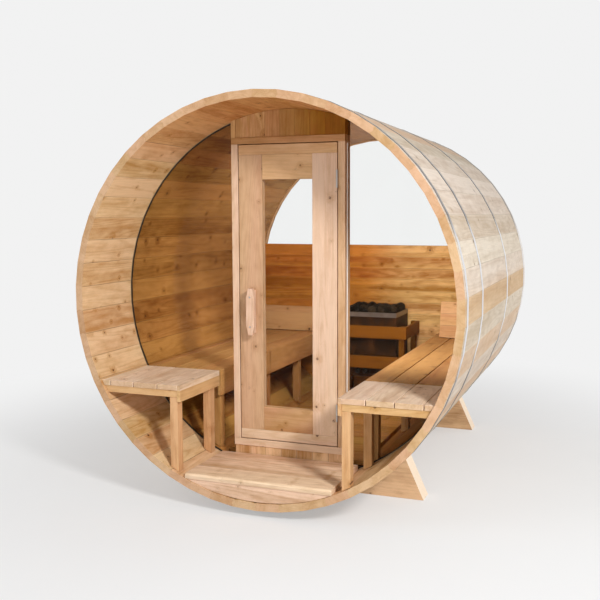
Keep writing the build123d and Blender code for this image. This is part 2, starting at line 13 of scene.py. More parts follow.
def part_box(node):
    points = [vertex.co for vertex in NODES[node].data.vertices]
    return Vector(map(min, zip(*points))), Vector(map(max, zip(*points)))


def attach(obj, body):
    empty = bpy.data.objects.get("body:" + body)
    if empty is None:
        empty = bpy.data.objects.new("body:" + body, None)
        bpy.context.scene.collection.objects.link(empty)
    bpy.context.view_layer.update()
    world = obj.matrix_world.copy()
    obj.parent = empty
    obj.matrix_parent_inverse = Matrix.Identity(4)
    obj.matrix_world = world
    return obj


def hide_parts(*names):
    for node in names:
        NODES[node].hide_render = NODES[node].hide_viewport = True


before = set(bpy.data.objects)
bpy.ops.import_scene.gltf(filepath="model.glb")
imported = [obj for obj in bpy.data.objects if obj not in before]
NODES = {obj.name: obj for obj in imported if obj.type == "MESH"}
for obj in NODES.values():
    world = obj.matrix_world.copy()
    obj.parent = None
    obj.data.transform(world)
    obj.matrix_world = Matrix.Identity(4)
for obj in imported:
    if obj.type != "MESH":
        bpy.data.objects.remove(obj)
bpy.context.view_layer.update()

# ---------------------------------------------------------------- sizes read from the frame
SHELL_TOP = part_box("shell_crown_left")[1].z
SHELL_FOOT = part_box("shell_floor_left")[0].z
AXIS_Z = (SHELL_TOP + SHELL_FOOT) / 2           # the barrel's axis
SHELL_R = (SHELL_TOP - SHELL_FOOT) / 2          # corners of the ring of staves
GLASS_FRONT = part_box("front_glass_right")[0].y
SEAT_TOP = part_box("porch_bench_right")[1].z
SEAT_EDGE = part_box("porch_bench_right")[0].x    # aisle side of the benches
SEAL_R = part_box("front_glass_seal")[1].x        # outside of the glass's seal
HEATER_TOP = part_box("heater_body")[1].z

# ---------------------------------------------------------------- sizes of the joinery
STAVES = 50
STAVE_TURN = 2 * pi / STAVES
SLAT_T = 0.028
APRON_T = 0.020
RAIL_H = 0.038
HOOP_W = 0.038
DECK_BOARDS = 3
DECK_GAP = 0.004
FLOOR_PITCH = 0.144
WALL_PITCH = 0.088
REST_PITCH = 0.08574    # a leaning board of the right backrest, measured upright
SILL_BOARDS = 7
SILL_PANEL_INSET = 0.004
SEALANT_W = 0.0045
SCREW_INSET = 0.048     # from the ends of the door's pull
BOARD_ARRIS = 0.0022
FINE_ARRIS = 0.0006
KNOB_ARRIS = 0.0008
STEEL_BAND = 0.034      # bright steel round the stone tray
SLACK = 0.0001          # allowed where a board is told from its neighbours by its faces


# ---------------------------------------------------------------- shader helpers
class Shader:
    """A node tree with short calls that add nodes and link them."""

    def __init__(self, tree):
        self.tree = tree

    def feed(self, socket, value):
        if isinstance(value, bpy.types.NodeSocket):
            self.tree.links.new(value, socket)
        else:
            socket.default_value = value

    def add(self, kind, values=None, **settings):
        node = self.tree.nodes.new("ShaderNode" + kind)
        for name, value in settings.items():
            setattr(node, name, value)
        for name, value in (values or {}).items():
            self.feed(node.inputs[name], value)
        return node

    def sum(self, operation, *values):
        node = self.add("Math", operation=operation)
        for socket, value in zip(node.inputs, values):
            self.feed(socket, value)
        return node.outputs[0]

    def mix(self, share, first, second):
        """A blend of two colours."""
        node = self.add("Mix", {0: share, 6: first, 7: second}, data_type="RGBA")
        return node.outputs[2]

    def choose(self, share, first, second):
        """A blend of two vectors."""
        node = self.add("Mix", {0: share, 4: first, 5: second}, data_type="VECTOR")
        return node.outputs[1]

    def vector(self, x, y, z):
        return self.add("CombineXYZ", {0: x, 1: y, 2: z}).outputs[0]

    def split(self, vector):
        return self.add("SeparateXYZ", {0: vector}).outputs[:]

    def stretch(self, vector, factors):
        node = self.add("VectorMath", {0: vector, 1: factors}, operation="MULTIPLY")
        return node.outputs[0]

    def ramp(self, value, low, high):
        """0 up to low, 1 from high, and smooth between them."""
        values = {"Value": value, "From Min": low, "From Max": high}
        return self.add("MapRange", values, interpolation_type="SMOOTHSTEP").outputs[0]

    def cloud(self, place, lumps, detail=2.0, roughness=0.5, seed=0.0):
        """Noise with about so many lumps to the metre along each axis."""
        spread = self.stretch(place, lumps)
        values = {"Vector": spread, "W": seed, "Scale": 1.0, "Detail": detail, "Roughness": roughness}
        return self.add("TexNoise", values, noise_dimensions="4D").outputs["Fac"]

    def chance(self, value):
        """A random number and colour for each value."""
        return self.add("TexWhiteNoise", {"W": value}, noise_dimensions="1D").outputs

    def place(self):
        return self.add("TexCoord").outputs["Object"]

    def position(self):
        return self.split(self.place())


def shader_group(name, inputs, outputs):
    """A new node group: its helper, the sockets it is given and the ones it fills."""
    tree = bpy.data.node_groups.new(name, "ShaderNodeTree")
    for label, kind, value in inputs:
        socket = tree.interface.new_socket(label, in_out="INPUT", socket_type="NodeSocket" + kind)
        socket.default_value = value
    for label, kind in outputs:
        tree.interface.new_socket(label, in_out="OUTPUT", socket_type="NodeSocket" + kind)
    shader = Shader(tree)
    given = tree.nodes.new("NodeGroupInput").outputs
    filled = tree.nodes.new("NodeGroupOutput").inputs
    return shader, given, filled


def place_group(shader, tree, values):
    node = shader.add("Group")
    node.node_tree = tree
    for name, value in values.items():
        shader.feed(node.inputs[name], value)
    return node.outputs


def new_material(name):
    """An empty material: its helper and its Principled shader, already linked."""
    material = bpy.data.materials.new(name)
    material.use_nodes = True
    material.node_tree.nodes.clear()
    shader = Shader(material.node_tree)
    surface = shader.add("BsdfPrincipled")
    output = shader.add("OutputMaterial")
    shader.feed(output.inputs["Surface"], surface.outputs["BSDF"])
    return material, shader, surface


def blend_surface(shader, share, first, second):
    """Lets a material's surface give way from one shader to another."""
    both = shader.add("MixShader", {0: share, 1: first.outputs[0], 2: second.outputs[0]})
    output = [node for node in shader.tree.nodes if node.type == "OUTPUT_MATERIAL"][0]
    shader.feed(output.inputs["Surface"], both.outputs[0])


def add_bump(shader, surface, height, distance):
    bump = shader.add("Bump", {"Height": height, "Distance": distance, "Strength": 1.0})
    shader.feed(surface.inputs["Normal"], bump.outputs["Normal"])


# ---------------------------------------------------------------- cedar
def make_cedar_group():
    """Cedar with growth rings, fibres and small knots, different on every board."""
    shader, given, filled = shader_group(
        "cedar board",
        [
            ("Place", "Vector", (0.0, 0.0, 0.0)),
            ("Board", "Float", 0.0),
            ("Light", "Color", (0.6, 0.4, 0.25, 1.0)),
            ("Deep", "Color", (0.35, 0.18, 0.08, 1.0)),
            ("Variety", "Float", 0.5),
            ("Knots", "Float", 0.4),
            ("From Joint", "Float", 1.0),
        ],
        [("Color", "Color"), ("Roughness", "Float"), ("Height", "Float")],
    )
    place = given["Place"]
    board = shader.sum("MULTIPLY", given["Board"], 3.71)
    hue_pick, tone_pick, shift = shader.split(shader.chance(board)["Color"])
    along, across, depth = shader.split(place)

    # Knots: round spots in some cells of a grid that is shifted from board to board.
    knot_along = shader.sum("MULTIPLY_ADD", along, 7.5, shader.sum("MULTIPLY", shift, 77.0))
    knot_across = shader.sum("MULTIPLY_ADD", across, 7.5, shader.sum("MULTIPLY", hue_pick, 53.0))
    knot_place = shader.vector(knot_along, knot_across, 0.0)
    cells = shader.add("TexVoronoi", {"Vector": knot_place, "Scale": 1.0}, voronoi_dimensions="2D")
    knot_pick, knot_size, _ = shader.split(cells.outputs["Color"])
    is_knot = shader.sum("LESS_THAN", knot_pick, given["Knots"])
    ragged = shader.cloud(place, (90.0, 90.0, 90.0), 1.0)
    reach = shader.sum("MULTIPLY_ADD", ragged, 0.03, cells.outputs["Distance"])
    size = shader.sum("MULTIPLY_ADD", shader.sum("POWER", knot_size, 3.0), 0.060, 0.047)
    knot = shader.ramp(reach, shader.sum("MULTIPLY", size, 1.08), shader.sum("MULTIPLY", size, 0.55))
    knot = shader.sum("MULTIPLY", knot, is_knot)
    halo = shader.ramp(reach, shader.sum("MULTIPLY", size, 4.0), size)
    halo = shader.sum("MULTIPLY", halo, is_knot)

    # Growth rings that run round the knots, with broad and fine streaks along the board.
    slow = shader.cloud(place, (0.7, 9.0, 9.0), 1.0, 0.4, board)
    bent = shader.sum("MULTIPLY_ADD", halo, 0.07, slow)
    rings = shader.sum("SINE", shader.sum("MULTIPLY", bent, 2 * pi * 17))
    rings = shader.sum("POWER", shader.sum("MULTIPLY_ADD", rings, 0.5, 0.5), 2.5)
    broad = shader.cloud(place, (0.9, 16.0, 16.0), 2.0, 0.5, board)
    smudge = shader.cloud(place, (10.0, 26.0, 26.0), 3.0, 0.6, board)
    fibre = shader.cloud(place, (7.0, 330.0, 330.0), 3.0, 0.6, board)

    tone = shader.sum("MULTIPLY_ADD", tone_pick, 1.1, -0.15)
    tone = shader.sum("MULTIPLY", tone, given["Variety"])
    tone = shader.sum("MULTIPLY_ADD", shader.sum("SUBTRACT", broad, 0.5), 1.5, tone)
    tone = shader.sum("MULTIPLY_ADD", shader.sum("SUBTRACT", smudge, 0.5), 1.3, tone)
    tone = shader.sum("MULTIPLY_ADD", rings, 0.24, tone)
    tone = shader.sum("MULTIPLY_ADD", halo, 0.5, tone)
    tone = shader.sum("MINIMUM", shader.sum("MAXIMUM", tone, 0.0), 1.0)
    colour = shader.mix(tone, given["Light"], given["Deep"])
    hue = shader.sum("MULTIPLY_ADD", hue_pick, 0.016, 0.491)
    value = shader.sum("MULTIPLY_ADD", fibre, 0.44, 0.78)
    tinted = shader.add("HueSaturation", {"Hue": hue, "Value": value, "Color": colour})
    knot_colour = shader.mix(ragged, (0.020, 0.006, 0.002, 1.0), (0.15, 0.050, 0.014, 1.0))
    shaded = shader.mix(shader.sum("MULTIPLY", knot, 0.9), tinted.outputs[0], knot_colour)

    # Joints between boards: a dark line of dirt and painted shade that comes and goes,
    # beside a painted highlight along the lip of some boards.
    uneven = shader.cloud(place, (2.2, 9.0, 9.0), 2.0, 0.6, board)
    # painted highlight: a lighter band beside the joint on some boards
    painted_lip_highlight = shader.sum("MULTIPLY", shader.ramp(given["From Joint"], 0.011, 0.003), tone_pick)
    shaded = shader.mix(shader.sum("MULTIPLY", painted_lip_highlight, 0.5), shaded, given["Light"])
    # dirt and painted shade: a dark line along each joint
    joint = shader.ramp(given["From Joint"], 0.0030, 0.0008)
    joint = shader.sum("MULTIPLY", joint, shader.ramp(uneven, 0.30, 0.80))
    joint = shader.sum("MULTIPLY", joint, 0.75)
    shaded = shader.mix(joint, shaded, shader.stretch(given["Deep"], (0.28, 0.22, 0.18)))
    shader.feed(filled["Color"], shaded)
    shader.feed(filled["Roughness"], shader.sum("MULTIPLY_ADD", fibre, 0.25, 0.47))
    height = shader.sum("MULTIPLY_ADD", rings, 0.35, fibre)
    shader.feed(filled["Height"], shader.sum("MULTIPLY_ADD", knot, -0.6, height))
    return shader.tree


CEDAR = make_cedar_group()


def cedar(name, grain, tones, variety=0.5, knots=0.4, shade=None, joints=None):
    """A cedar material.  grain gives the board's own axes, shade may change the two tones and
    the share of knots, and joints gives how far a point lies from the nearest joint."""
    material, shader, surface = new_material(name)
    x, y, z = shader.position()
    if shade:
        tones, knots = shade(shader, x, y, z, tones, knots)
    values = {
        "Place": grain(shader, x, y, z),
        "Board": shader.add("Attribute", attribute_name="board").outputs["Fac"],
        "Light": tones[0],
        "Deep": tones[1],
        "Variety": variety,
        "Knots": knots,
        "From Joint": joints(shader, x, y, z) if joints else 1.0,
    }
    wood = place_group(shader, CEDAR, values)
    shader.feed(surface.inputs["Base Color"], wood["Color"])
    shader.feed(surface.inputs["Roughness"], wood["Roughness"])
    surface.inputs["Specular IOR Level"].default_value = 0.2
    add_bump(shader, surface, wood["Height"], 0.0004)
    return material


# ---------------------------------------------------------------- places on the boards
def round_barrel(shader, x, z):
    """Turn round the barrel's axis from its top, and distance from the axis."""
    height = shader.sum("SUBTRACT", z, AXIS_Z)
    turn = shader.sum("ARCTAN2", x, height)
    across = shader.sum("MULTIPLY", x, x)
    return turn, shader.sum("SQRT", shader.sum("MULTIPLY_ADD", height, height, across))


def outer_faces(shader, reach):
    """1 on the outside of the staves."""
    return shader.ramp(reach, SHELL_R - 0.0045, SHELL_R - 0.003)


def faces_along(shader, axis, least):
    """1 where a face looks along an axis, either way."""
    facing = shader.split(shader.add("TexCoord").outputs["Normal"])[axis]
    return shader.sum("GREATER_THAN", shader.sum("ABSOLUTE", facing), least)


def slat_share(shader, z):
    """1 on the slats of a bench."""
    return shader.sum("GREATER_THAN", z, SEAT_TOP - SLAT_T - SLACK)


def grain_x(shader, x, y, z):
    """Along a board that runs from side to side, then its other two ways."""
    return shader.vector(x, z, y)


def grain_y(shader, x, y, z):
    return shader.vector(y, x, z)


def grain_z(shader, x, y, z):
    return shader.vector(z, x, y)


def grain_staves(shader, x, y, z):
    """Along the barrel, round it, and out from its axis."""
    turn, reach = round_barrel(shader, x, z)
    return shader.vector(y, shader.sum("MULTIPLY", turn, SHELL_R), reach)


def grain_bench(shader, x, y, z):
    """Slats and apron along the barrel, rails across it and legs upright."""
    side = shader.sum("ABSOLUTE", x)
    apron = shader.sum("LESS_THAN", side, SEAT_EDGE + APRON_T + SLACK)
    long_piece = shader.sum("MAXIMUM", slat_share(shader, z), apron)
    leg = shader.sum("LESS_THAN", z, SEAT_TOP - SLAT_T - RAIL_H - 5 * SLACK)
    short_piece = shader.choose(leg, grain_x(shader, x, y, z), grain_z(shader, x, y, z))
    return shader.choose(long_piece, short_piece, grain_y(shader, x, y, z))


def grain_guard(shader, x, y, z):
    """The heater guard: front rails across, side rails to the wall and upright posts."""
    low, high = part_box("heater_guard")
    side = shader.sum("ABSOLUTE", x)
    front = shader.sum("LESS_THAN", y, low.y + APRON_T + SLACK)
    outer = shader.sum("GREATER_THAN", side, high.x - APRON_T - SLACK)
    rail = shader.choose(outer, grain_z(shader, x, y, z), grain_y(shader, x, y, z))
    return shader.choose(front, rail, grain_x(shader, x, y, z))


# ---------------------------------------------------------------- joints between boards
def nearest_joint(shader, value, pitch, first=0.0):
    """How far a coordinate lies from the nearest of the joints that repeat at a pitch."""
    turns = shader.sum("MULTIPLY_ADD", value, 1 / pitch, 0.5 - first / pitch)
    share = shader.sum("SUBTRACT", shader.sum("FRACT", turns), 0.5)
    return shader.sum("MULTIPLY", shader.sum("ABSOLUTE", share), pitch)


def stave_joints(shader, x, y, z):
    """Joints between staves, fainter outside and off their sawn ends, where the bead and
    cove show."""
    turn, reach = round_barrel(shader, x, z)
    gap = nearest_joint(shader, shader.sum("MULTIPLY", turn, SHELL_R), STAVE_TURN * SHELL_R)
    gap = shader.sum("MULTIPLY_ADD", outer_faces(shader, reach), 0.0010, gap)
    return shader.sum("ADD", gap, faces_along(shader, 1, 0.9))


def joints_down(name, pitch):
    """Joints of horizontal boards, counted down from the top of a piece."""
    def joints(shader, x, y, z):
        return nearest_joint(shader, z, pitch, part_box(name)[1].z)
    return joints


def joints_back(name, pitch):
    """Joints of floor boards, counted back from the front."""
    def joints(shader, x, y, z):
        return nearest_joint(shader, y, pitch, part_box(name)[0].y - DECK_GAP / 2)
    return joints


def joints_across(half, count):
    """Joints of upright boards that share a width."""
    def joints(shader, x, y, z):
        return nearest_joint(shader, x, 2 * half / count, -half)
    return joints


# ---------------------------------------------------------------- tones of the cedar
def tones(light, deep):
    """The pale and the dark tone that a cedar's figure runs between."""
    return (*light, 1.0), (*deep, 1.0)


PORCH = tones((0.76, 0.53, 0.30), (0.48, 0.25, 0.085))
# painted shade for the porch's crown under the roof
PAINTED_CROWN_SHADE = tones((0.72, 0.39, 0.15), (0.44, 0.17, 0.035))
STAVE_ENDS = tones((0.60, 0.39, 0.23), (0.45, 0.26, 0.12))
SILVERED = tones((0.66, 0.57, 0.47), (0.46, 0.355, 0.255))
TAN = tones((0.60, 0.43, 0.275), (0.47, 0.29, 0.16))
CABIN = tones((0.42, 0.205, 0.050), (0.20, 0.075, 0.010))
SLATS = tones((0.85, 0.68, 0.52), (0.56, 0.36, 0.21))
SLAT_ENDS = tones((0.64, 0.44, 0.28), (0.46, 0.28, 0.15))
BENCH_RAILS = tones((0.66, 0.41, 0.20), (0.45, 0.23, 0.08))
DECK = tones((0.84, 0.62, 0.43), (0.50, 0.295, 0.145))
FASCIA = tones((0.74, 0.52, 0.36), (0.42, 0.245, 0.12))
CABIN_BENCH = tones((0.54, 0.285, 0.10), (0.36, 0.155, 0.042))
LEFT_REST = tones((0.60, 0.35, 0.15), (0.42, 0.205, 0.072))
RIGHT_REST = tones((0.74, 0.45, 0.22), (0.54, 0.275, 0.105))
REAR_WALL = tones((0.80, 0.50, 0.19), (0.37, 0.155, 0.027))
# painted shade for the left of the rear wall
REAR_WALL_PAINTED_SHADE = tones((0.66, 0.27, 0.04), (0.32, 0.095, 0.008))
GUARD = tones((0.24, 0.086, 0.005), (0.095, 0.027, 0.001))
DOOR = tones((0.72, 0.51, 0.36), (0.54, 0.33, 0.19))
LEFT_STILE = tones((0.58, 0.36, 0.215), (0.42, 0.23, 0.115))
UPPER_PANEL = tones((0.68, 0.42, 0.23), (0.50, 0.265, 0.11))
LOWER_PANEL = tones((0.54, 0.31, 0.16), (0.39, 0.19, 0.075))
RIGHT_JAMB = tones((0.69, 0.45, 0.28), (0.49, 0.27, 0.13))
# painted shade: the door's head under the header, deepened
DOOR_HEAD_PAINTED_SHADE = tones((0.56, 0.31, 0.14), (0.38, 0.18, 0.06))
SILL_PANEL = tones((0.74, 0.48, 0.28), (0.44, 0.22, 0.08))
HEADER = tones((0.68, 0.42, 0.20), (0.46, 0.235, 0.085))
# painted shade for the header's right side under the roof
HEADER_PAINTED_SHADE = tones((0.36, 0.145, 0.014), (0.23, 0.075, 0.004))
CRADLE = tones((0.64, 0.41, 0.24), (0.31, 0.15, 0.06))
# painted light on the cradles' sloping ends
CRADLE_ENDS_PAINTED_LIGHT = tones((0.82, 0.67, 0.52), (0.82, 0.67, 0.52))


def give_way(shader, share, first, second):
    """Two tones that give way to two others by a share."""
    return [shader.mix(share, before, after) for before, after in zip(first, second)]


def weathered(shader, x, y, z, porch, knots):
    """Staves: bright on the porch, with painted shade deepening its crown to amber, brown in
    the cabin, and silvered outside, most at the shoulders.  Their sawn ends have no knots."""
    turn, reach = round_barrel(shader, x, z)
    outside = outer_faces(shader, reach)
    cabin = shader.sum("GREATER_THAN", y, GLASS_FRONT)
    sawn = faces_along(shader, 1, 0.9)

    # painted shade: the porch's crown, under the roof, deepened to amber
    crown = shader.ramp(z, AXIS_Z + 0.66, AXIS_Z + 1.02)
    inner = give_way(shader, crown, porch, PAINTED_CROWN_SHADE)
    inner = give_way(shader, cabin, inner, CABIN)

    stave = shader.sum("FLOOR", shader.sum("MULTIPLY", turn, 1 / STAVE_TURN))
    patches = shader.cloud(shader.vector(y, turn, 0.0), (1.6, 5.0, 0.0), 2.0, 0.5)
    rain = shader.ramp(z, AXIS_Z - 0.1, AXIS_Z + 0.45)
    rain = shader.sum("MULTIPLY_ADD", shader.ramp(z, AXIS_Z + 0.35, AXIS_Z + 0.85), -0.6, rain)
    grey = shader.sum("MULTIPLY_ADD", patches, 0.5, rain)
    grey = shader.sum("ADD", grey, shader.chance(stave)["Value"])
    outer = give_way(shader, shader.ramp(grey, 0.55, 1.05), TAN, SILVERED)

    knots = shader.sum("MULTIPLY_ADD", cabin, -0.12, knots)
    knots = shader.sum("MULTIPLY", knots, shader.sum("MULTIPLY_ADD", outside, -0.65, 1.0))
    knots = shader.sum("SUBTRACT", knots, sawn)
    faces = give_way(shader, outside, inner, outer)
    return give_way(shader, sawn, faces, STAVE_ENDS), knots


def tan_behind(shader, x, y, z, golden, knots):
    """The rear wall: golden in the cabin, with painted shade deeper to the left, and tan on its
    outside.
    """
    low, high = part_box("rear_wall")
    behind = shader.sum("GREATER_THAN", y, (low.y + high.y) / 2)
    # painted shade: the wall deepens towards the left
    left = shader.ramp(x, 0.25, -0.20)
    inside = give_way(shader, left, golden, REAR_WALL_PAINTED_SHADE)
    return give_way(shader, behind, inside, TAN), knots


def slats_paler(shader, x, y, z, rails, knots):
    """Bench slats, bleached by use but for their end grain, over warmer rails and legs."""
    slats = give_way(shader, faces_along(shader, 1, 0.9), SLATS, SLAT_ENDS)
    return give_way(shader, slat_share(shader, z), rails, slats), knots


def painted_light_on_ends(shader, x, y, z, sides, knots):
    """A cradle's sloping ends, made paler with painted light."""
    return give_way(shader, faces_along(shader, 0, 0.4), sides, CRADLE_ENDS_PAINTED_LIGHT), knots


def painted_shade_to_the_right(shader, x, y, z, left, knots):
    """Boards over the door, palest at the left, with painted shade darkening them towards the right.
    """
    # painted shade: darker towards the right
    return give_way(shader, shader.ramp(x, -0.30, 0.22), left, HEADER_PAINTED_SHADE), knots


# ---------------------------------------------------------------- other finishes
def hoop_steel():
    """Rolled steel strap with a painted highlight at mid height, and dull elsewhere with painted dark
    reflections along its edges.
    """
    material, shader, surface = new_material("hoop_steel")
    x, y, z = shader.position()
    turn, _ = round_barrel(shader, x, z)
    strap = shader.vector(turn, y, 0.0)
    rolled = shader.cloud(strap, (4.0, 900.0, 0.0), 2.0, 0.6)
    blotch = shader.cloud(strap, (18.0, 20.0, 0.0), 3.0, 0.6)
    # painted highlight: near-white steel at mid height stands in for a lamp's reflection
    bright = shader.mix(rolled, (0.98, 0.98, 1.00, 1.0), (0.80, 0.80, 0.84, 1.0))
    dull = shader.mix(rolled, (0.30, 0.28, 0.29, 1.0), (0.15, 0.14, 0.15, 1.0))
    painted_highlight = shader.sum("MULTIPLY", shader.ramp(z, AXIS_Z - 0.50, AXIS_Z - 0.10),
                        shader.ramp(z, AXIS_Z + 0.55, AXIS_Z + 0.22))
    painted_highlight = shader.ramp(shader.sum("MULTIPLY_ADD", blotch, 0.5, painted_highlight), 0.40, 1.05)
    colour = shader.mix(painted_highlight, dull, bright)
    # painted dark reflections: darker colour along each strap's edges, away from the painted
    # highlight
    edge = 0.0
    for name in named("hoop_"):
        low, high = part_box(name)
        off_middle = shader.sum("ABSOLUTE", shader.sum("SUBTRACT", y, (low.y + high.y) / 2))
        near = shader.sum("LESS_THAN", off_middle, high.y - low.y)
        rim = shader.ramp(off_middle, HOOP_W * 0.34, HOOP_W * 0.48)
        edge = shader.sum("MULTIPLY_ADD", near, rim, edge)
    edge = shader.sum("MULTIPLY", edge, shader.sum("SUBTRACT", 1.0, painted_highlight))
    colour = shader.mix(edge, colour, (0.08, 0.075, 0.08, 1.0))
    shader.feed(surface.inputs["Base Color"], colour)
    shader.feed(surface.inputs["Roughness"], shader.sum("MULTIPLY_ADD", rolled, 0.25, 0.18))
    surface.inputs["Metallic"].default_value = 1.0
    add_bump(shader, surface, rolled, 0.0001)
    return material


def hinge_steel():
    """Steel brushed up and down."""
    material, shader, surface = new_material("hinge_steel")
    brushed = shader.cloud(shader.place(), (1500.0, 1500.0, 40.0), 2.0, 0.6)
    colour = shader.mix(brushed, (0.62, 0.61, 0.60, 1.0), (0.42, 0.41, 0.40, 1.0))
    shader.feed(surface.inputs["Base Color"], colour)
    shader.feed(surface.inputs["Roughness"], shader.sum("MULTIPLY_ADD", brushed, 0.2, 0.25))
    surface.inputs["Metallic"].default_value = 1.0
    return material


def rubber_seal():
    """Black seal on the glass, with a bead of amber sealant against the staves."""
    material, shader, surface = new_material("rubber_seal")
    x, _, z = shader.position()
    _, reach = round_barrel(shader, x, z)
    dust = shader.cloud(shader.place(), (60.0, 400.0, 60.0), 3.0, 0.6)
    black = shader.mix(dust, (0.014, 0.010, 0.007, 1.0), (0.05, 0.038, 0.026, 1.0))
    amber = shader.mix(dust, (0.30, 0.21, 0.12, 1.0), (0.42, 0.31, 0.19, 1.0))
    outer = shader.ramp(reach, SEAL_R - 0.0028, SEAL_R - 0.0012)
    shader.feed(surface.inputs["Base Color"], shader.mix(outer, black, amber))
    shader.feed(surface.inputs["Roughness"], shader.sum("MULTIPLY_ADD", dust, 0.3, 0.6))
    surface.inputs["Specular IOR Level"].default_value = 0.2
    return material


def clear_sealant():
    """Milky silicone with fine ripples from the tool."""
    material, shader, surface = new_material("silicone_sealant")
    ripple = shader.cloud(shader.place(), (300.0, 300.0, 90.0), 2.0, 0.5)
    colour = shader.mix(ripple, (0.78, 0.78, 0.76, 1.0), (0.62, 0.61, 0.58, 1.0))
    shader.feed(surface.inputs["Base Color"], colour)
    shader.feed(surface.inputs["Roughness"], shader.sum("MULTIPLY_ADD", ripple, 0.2, 0.25))
    add_bump(shader, surface, ripple, 0.0004)
    return material


def heater_enamel():
    """Dark baked enamel with brown heat marks, under a band of bare steel."""
    material, shader, surface = new_material("heater_enamel")
    _, _, z = shader.position()
    speck = shader.cloud(shader.place(), (700.0, 700.0, 700.0), 2.0, 0.6)
    heat = shader.cloud(shader.place(), (14.0, 14.0, 9.0), 4.0, 0.6)
    enamel = shader.mix(shader.ramp(heat, 0.42, 0.68),
                        (0.020, 0.0075, 0.002, 1.0), (0.085, 0.032, 0.009, 1.0))
    steel = shader.mix(heat, (0.50, 0.46, 0.41, 1.0), (0.12, 0.105, 0.09, 1.0))
    band = shader.sum("GREATER_THAN", z, HEATER_TOP - STEEL_BAND)
    shader.feed(surface.inputs["Base Color"], shader.mix(band, enamel, steel))
    shader.feed(surface.inputs["Roughness"], shader.sum("MULTIPLY_ADD", speck, 0.2, 0.35))
    shader.feed(surface.inputs["Metallic"], shader.sum("MULTIPLY", band, 0.9))
    surface.inputs["Specular IOR Level"].default_value = 0.12
    add_bump(shader, surface, speck, 0.0002)
    return material


def sauna_stone():
    """Dark olivine stones, each with its own tone, with pale specks."""
    material, shader, surface = new_material("olivine_stone")
    stone = shader.add("Attribute", attribute_name="stone").outputs["Fac"]
    tint = shader.mix(stone, (0.003, 0.002, 0.001, 1.0), (0.046, 0.030, 0.015, 1.0))
    rough = shader.cloud(shader.place(), (60.0, 60.0, 60.0), 5.0, 0.65)
    speck = shader.cloud(shader.place(), (420.0, 420.0, 420.0), 2.0, 0.6)
    colour = shader.mix(shader.ramp(rough, 0.45, 0.85), tint, (0.034, 0.025, 0.015, 1.0))
    colour = shader.mix(shader.ramp(speck, 0.64, 0.78), colour, (0.34, 0.30, 0.25, 1.0))
    shader.feed(surface.inputs["Base Color"], colour)
    shader.feed(surface.inputs["Roughness"], shader.sum("MULTIPLY_ADD", rough, 0.3, 0.55))
    surface.inputs["Specular IOR Level"].default_value = 0.15
    add_bump(shader, surface, rough, 0.003)
    return material


def knob_plastic():
    """Black moulded plastic with a fine grain."""
    material, shader, surface = new_material("knob_plastic")
    grain = shader.cloud(shader.place(), (1500.0, 1500.0, 1500.0), 1.0)
    colour = shader.mix(grain, (0.004, 0.004, 0.004, 1.0), (0.012, 0.011, 0.010, 1.0))
    shader.feed(surface.inputs["Base Color"], colour)
    shader.feed(surface.inputs["Roughness"], shader.sum("MULTIPLY_ADD", grain, 0.15, 0.3))
    return material


def clear_glass(name, ior):
    """Clear toughened glass with a faint film; lamps shine through it."""
    material, shader, surface = new_material(name)
    film = shader.cloud(shader.place(), (5.0, 5.0, 3.0), 3.0, 0.6)
    colour = shader.mix(film, (0.995, 1.0, 0.998, 1.0), (0.985, 0.992, 0.988, 1.0))
    shader.feed(surface.inputs["Base Color"], colour)
    surface.inputs["Roughness"].default_value = 0.0
    surface.inputs["IOR"].default_value = ior
    surface.inputs["Transmission Weight"].default_value = 1.0
    lamp_rays = shader.add("LightPath").outputs["Is Shadow Ray"]
    blend_surface(shader, lamp_rays, surface, shader.add("BsdfTransparent"))
    return material


# ---------------------------------------------------------------- finishes on the CAD pieces
def named(*starts):
    return [name for name in sorted(NODES) if name.startswith(starts)]


def finish(material, *names):
    for name in names:
        slots = NODES[name].data.materials
        for index in range(len(slots)):
            slots[index] = material


def make_one_skin():
    """Geometry nodes that join each solid's faces, keep its corners sharp and number the boards."""
    tree = bpy.data.node_groups.new("one skin", "GeometryNodeTree")
    tree.interface.new_socket("Geometry", in_out="INPUT", socket_type="NodeSocketGeometry")
    tree.interface.new_socket("First", in_out="INPUT", socket_type="NodeSocketInt")
    tree.interface.new_socket("Geometry", in_out="OUTPUT", socket_type="NodeSocketGeometry")

    def add(kind, **settings):
        node = tree.nodes.new(kind)
        for name, value in settings.items():
            setattr(node, name, value)
        return node

    given = add("NodeGroupInput")
    merge = add("GeometryNodeMergeByDistance")
    plain = add("GeometryNodeRemoveAttribute")
    smooth = add("GeometryNodeSetShadeSmooth", domain="FACE")
    angle = add("GeometryNodeInputMeshEdgeAngle")
    gentle = add("FunctionNodeCompare", data_type="FLOAT", operation="LESS_THAN")
    corners = add("GeometryNodeSetShadeSmooth", domain="EDGE")
    island = add("GeometryNodeInputMeshIsland")
    number = add("ShaderNodeMath", operation="ADD")
    store = add("GeometryNodeStoreNamedAttribute", data_type="FLOAT", domain="POINT")
    end = add("NodeGroupOutput")
    merge.inputs["Distance"].default_value = 0.00003
    plain.inputs["Name"].default_value = "custom_normal"
    smooth.inputs["Shade Smooth"].default_value = True
    gentle.inputs[1].default_value = radians(32)
    store.inputs["Name"].default_value = "board"
    link = tree.links.new
    steps = [given, merge, plain, smooth, corners, store, end]
    for before, after in zip(steps, steps[1:]):
        link(before.outputs["Geometry"], after.inputs["Geometry"])
    link(angle.outputs["Unsigned Angle"], gentle.inputs[0])
    link(gentle.outputs["Result"], corners.inputs["Shade Smooth"])
    link(island.outputs["Island Index"], number.inputs[0])
    link(given.outputs["First"], number.inputs[1])
    link(number.outputs[0], store.inputs["Value"])
    return tree


ONE_SKIN = make_one_skin()


